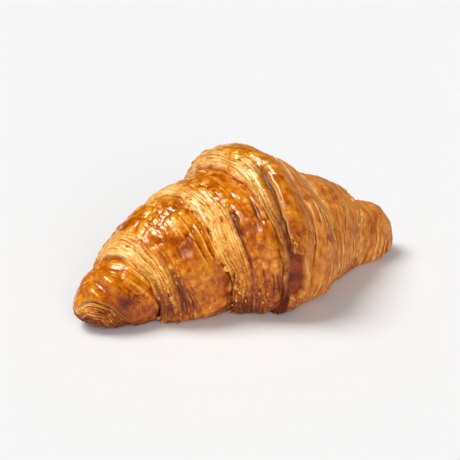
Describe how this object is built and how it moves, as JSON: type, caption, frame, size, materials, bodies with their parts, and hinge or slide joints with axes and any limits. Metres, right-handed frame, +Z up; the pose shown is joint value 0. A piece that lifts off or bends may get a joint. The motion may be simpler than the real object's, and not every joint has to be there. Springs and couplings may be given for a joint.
{
  "type": "croissant",
  "caption": "Baked croissant: a spindle of rolled flaky dough with slanting wraps, ridged cut edges, blistered glazed crust and a flat base.",
  "frame": {"origin": "middle of the bounding box in X and Y, in the plane of the flat base", "axes": "+X along the roll from the near tip to the far tip, +Y towards the back, +Z up"},
  "size_m": [0.1484, 0.081, 0.0589],
  "materials": {
    "crust": "egg-washed baked crust, golden brown, glossy on the smooth skin and satin along the cut edges"
  },
  "bodies": {
    "root": {"croissant": "crust"}
  },
  "joints": []
}
